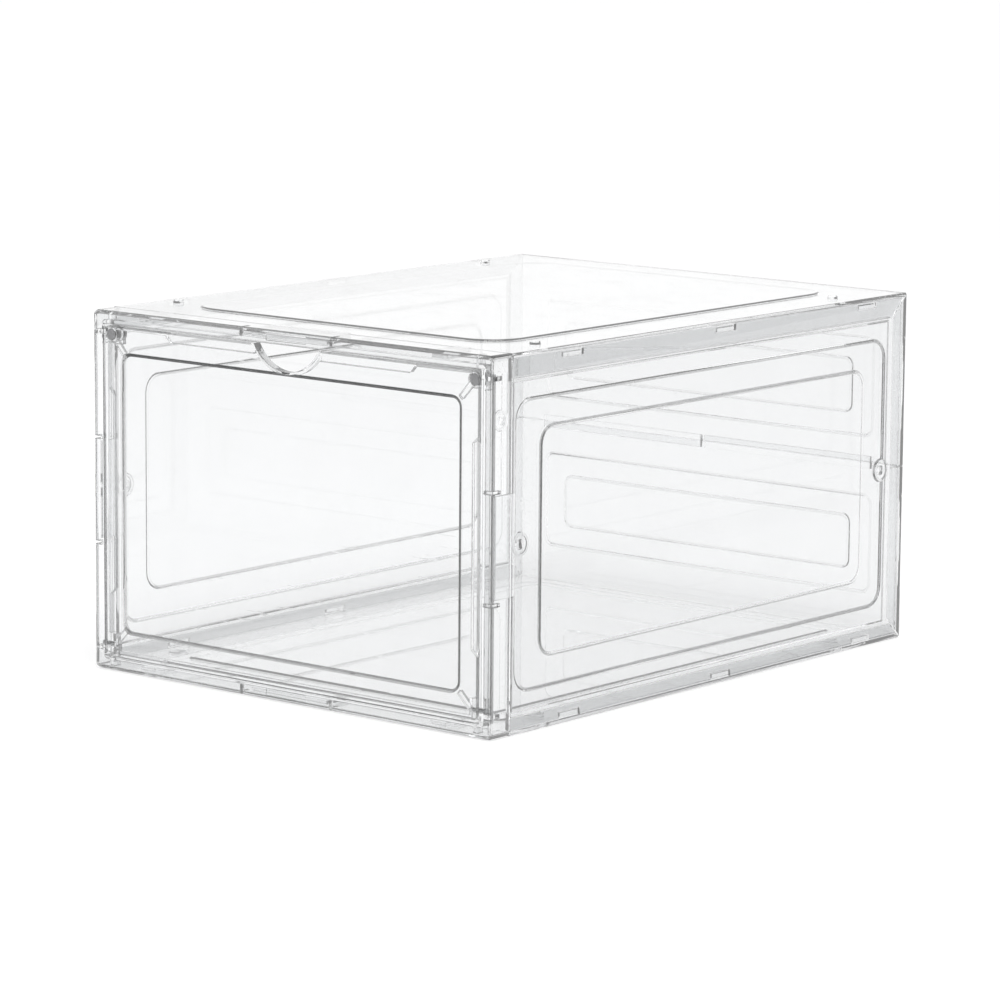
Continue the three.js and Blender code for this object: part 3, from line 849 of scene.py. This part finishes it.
class SHOEBOX_OT_hinge_pins(bpy.types.Operator):
    """Turn the two steel pins that the door swings on"""

    bl_idname = "shoebox.hinge_pins"
    bl_label = "Hinge Pins"

    def execute(self, context):
        settings = context.scene.shoebox_metal
        material = plated_metal("Plain steel", settings.steel, STEEL_HAZE)
        nodes = ("hinge_pin_left", "hinge_pin_right")
        lengthwise = (0.0, math.pi / 2, 0.0)
        piece = turned_pair("hinge_pins", nodes, "x", "z", lengthwise, settings.chamfer, material)
        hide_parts(*nodes)
        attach(piece, "box")
        return {"FINISHED"}


def white_surroundings(settings):
    """A bright horizon all the way round that fades to a darker ceiling."""
    world = bpy.data.worlds.new("White surroundings")
    world.use_nodes = True
    tree = world.node_tree
    tree.nodes.clear()
    link = tree.links.new
    place = tree.nodes.new("ShaderNodeTexCoord")
    parts = tree.nodes.new("ShaderNodeSeparateXYZ")
    link(place.outputs["Generated"], parts.inputs["Vector"])
    rise = (math.sin(HORIZON_TOP), math.sin(CEILING_EDGE))
    light = (settings.backdrop, settings.ceiling)
    fade = remapped(tree, parts.outputs["Z"], rise, light, interpolation_type="SMOOTHSTEP")
    background = tree.nodes.new("ShaderNodeBackground")
    link(fade, background.inputs["Strength"])
    output = tree.nodes.new("ShaderNodeOutputWorld")
    link(background.outputs["Background"], output.inputs["Surface"])
    return world


def white_floor(settings):
    """A plain white floor that glows a little, as one lit from below does."""
    material = bpy.data.materials.new("White floor")
    material.use_nodes = True
    surface = material.node_tree.nodes["Principled BSDF"]
    surface.inputs["Base Color"].default_value = (*settings.floor, 1.0)
    surface.inputs["Roughness"].default_value = FLOOR_ROUGHNESS
    surface.inputs["Specular IOR Level"].default_value = 0.0
    surface.inputs["Emission Color"].default_value = (1.0, 1.0, 1.0, 1.0)
    surface.inputs["Emission Strength"].default_value = settings.floor_glow
    mesh = bpy.data.meshes.new("floor")
    reach, level = FLOOR_REACH, FLOOR_LEVEL
    corners = [(-reach, -reach, level), (reach, -reach, level), (reach, reach, level), (-reach, reach, level)]
    mesh.from_pydata(corners, [], [(0, 1, 2, 3)])
    mesh.materials.append(material)
    floor = placed_piece("floor", mesh)


def soft_light(settings):
    """One softbox above and in front of the box."""
    softbox = bpy.data.lights.new("softbox", "AREA")
    softbox.shape = "RECTANGLE"
    softbox.size, softbox.size_y = SOFTBOX_SIZE
    softbox.energy = settings.softbox
    lamp = bpy.data.objects.new("softbox", softbox)
    lamp.location = SOFTBOX_PLACE
    lamp.rotation_euler = (-SOFTBOX_PLACE).to_track_quat("-Z", "Y").to_euler()
    bpy.context.scene.collection.objects.link(lamp)


def front_right_camera(settings):
    lens = bpy.data.cameras.new("camera")
    lens.lens = settings.lens
    lens.clip_end = CAMERA_REACH
    camera = bpy.data.objects.new("camera", lens)
    turn = Matrix.Rotation(CAMERA_AZIMUTH, 4, "Z")
    tilt = Matrix.Rotation(math.pi / 2 - CAMERA_ELEVATION, 4, "X")
    roll = Matrix.Rotation(CAMERA_ROLL, 4, "Z")
    camera.matrix_world = Matrix.Translation(CAMERA_PLACE) @ turn @ tilt @ roll
    bpy.context.scene.collection.objects.link(camera)
    return camera


class SHOEBOX_OT_stage(bpy.types.Operator):
    """Set the floor, the light, the surroundings and the camera"""

    bl_idname = "shoebox.stage"
    bl_label = "Stage"

    def execute(self, context):
        scene = context.scene
        settings = scene.shoebox_stage
        scene.world = white_surroundings(settings)
        white_floor(settings)
        soft_light(settings)
        scene.camera = front_right_camera(settings)
        scene.view_settings.view_transform = "Standard"
        scene.cycles.max_bounces = CLEAR_BOUNCES
        scene.cycles.transmission_bounces = CLEAR_BOUNCES
        scene.cycles.glossy_bounces = GLOSSY_BOUNCES
        scene.cycles.blur_glossy = GLOSSY_BLUR
        return {"FINISHED"}


class SHOEBOX_PT_sidebar(bpy.types.Panel):
    """Lists the steps that finish the shoe box"""

    bl_idname = "SHOEBOX_PT_sidebar"
    bl_label = "Shoe Box"
    bl_space_type = "VIEW_3D"
    bl_region_type = "UI"
    bl_category = "Shoe Box"

    def draw(self, context):
        scene = context.scene
        for settings, steps in (
            (scene.shoebox_stage, ("stage",)),
            (scene.shoebox_plastic, ("front_frame", "door", "covers", "sides", "back")),
            (scene.shoebox_metal, ("magnets", "hinge_pins")),
        ):
            column = self.layout.box().column()
            for name in settings.__annotations__:
                column.prop(settings, name)
            for step in steps:
                column.operator("shoebox." + step)


CLASSES = (
    PlasticSettings,
    MetalSettings,
    StageSettings,
    SHOEBOX_OT_stage,
    SHOEBOX_OT_front_frame,
    SHOEBOX_OT_door,
    SHOEBOX_OT_covers,
    SHOEBOX_OT_sides,
    SHOEBOX_OT_back,
    SHOEBOX_OT_magnets,
    SHOEBOX_OT_hinge_pins,
    SHOEBOX_PT_sidebar,
)


def register():
    for made in CLASSES:
        bpy.utils.register_class(made)
    bpy.types.Scene.shoebox_plastic = PointerProperty(type=PlasticSettings)
    bpy.types.Scene.shoebox_metal = PointerProperty(type=MetalSettings)
    bpy.types.Scene.shoebox_stage = PointerProperty(type=StageSettings)


def unregister():
    del bpy.types.Scene.shoebox_stage
    del bpy.types.Scene.shoebox_metal
    del bpy.types.Scene.shoebox_plastic
    for made in reversed(CLASSES):
        bpy.utils.unregister_class(made)


def main():
    register()
    bpy.ops.shoebox.stage()
    bpy.ops.shoebox.front_frame()
    bpy.ops.shoebox.door()
    bpy.ops.shoebox.covers()
    bpy.ops.shoebox.sides()
    bpy.ops.shoebox.back()
    bpy.ops.shoebox.magnets()
    bpy.ops.shoebox.hinge_pins()


if __name__ == "__main__":
    main()
